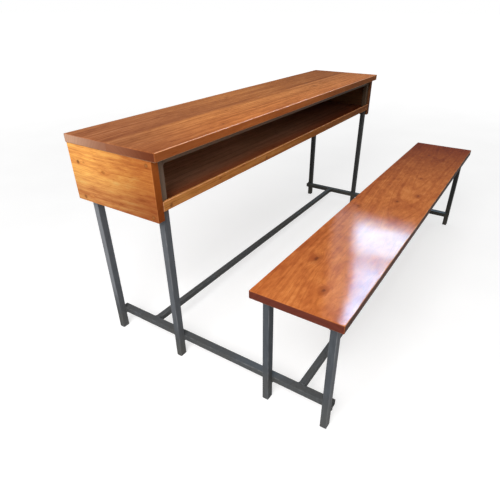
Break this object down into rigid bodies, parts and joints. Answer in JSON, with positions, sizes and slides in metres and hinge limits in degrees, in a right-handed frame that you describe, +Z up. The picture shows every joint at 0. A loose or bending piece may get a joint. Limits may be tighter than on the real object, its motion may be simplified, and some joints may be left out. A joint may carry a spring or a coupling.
{
  "type": "school desk with bench",
  "caption": "Long school desk with an open book box under a fixed wooden top, on a welded steel tube frame that also carries a wooden bench seat.",
  "frame": {"origin": "on the floor, in the middle of the length, midway between the back of the desk and the bench's outer edge", "axes": "+X along the desk to the right of a person on the bench, +Y from the bench to the back of the desk, +Z up"},
  "size_m": [1.6, 0.882, 0.707],
  "materials": {
    "frame_paint": "slate grey paint, semi-matt",
    "top_wood": "red-brown wood, clear gloss varnish",
    "seat_wood": "orange-brown wood with small knots, clear gloss varnish",
    "panel_wood": "golden wood, clear satin varnish",
    "shelf_wood": "brown wood, clear satin varnish",
    "screw_steel": "dulled zinc"
  },
  "bodies": {
    "root": {"back_panel": "panel_wood", "back_panel_screws": "screw_steel", "bench_stretcher": "frame_paint", "desk_front_rail": "frame_paint", "desk_rear_rail": "frame_paint", "desk_stretcher": "frame_paint", "end_panel_screws": "screw_steel", "left_bench_inner_leg": "frame_paint", "left_bench_outer_leg": "frame_paint", "left_desk_end_rail": "frame_paint", "left_desk_front_leg": "frame_paint", "left_desk_rear_leg": "frame_paint", "left_end_panel": "panel_wood", "left_floor_rail": "frame_paint", "left_seat_end_rail": "frame_paint", "left_shelf_bearer": "frame_paint", "lip_screws": "screw_steel", "right_bench_inner_leg": "frame_paint", "right_bench_outer_leg": "frame_paint", "right_desk_end_rail": "frame_paint", "right_desk_front_leg": "frame_paint", "right_desk_rear_leg": "frame_paint", "right_end_panel": "panel_wood", "right_floor_rail": "frame_paint", "right_seat_end_rail": "frame_paint", "right_shelf_bearer": "frame_paint", "seat_board": "seat_wood", "seat_inner_rail": "frame_paint", "seat_outer_rail": "frame_paint", "seat_screws": "screw_steel", "shelf_board": "shelf_wood", "shelf_lip": "shelf_wood", "shelf_screws": "screw_steel", "top_front_plank": "top_wood", "top_rear_plank": "top_wood", "top_screws": "screw_steel"}
  },
  "joints": []
}
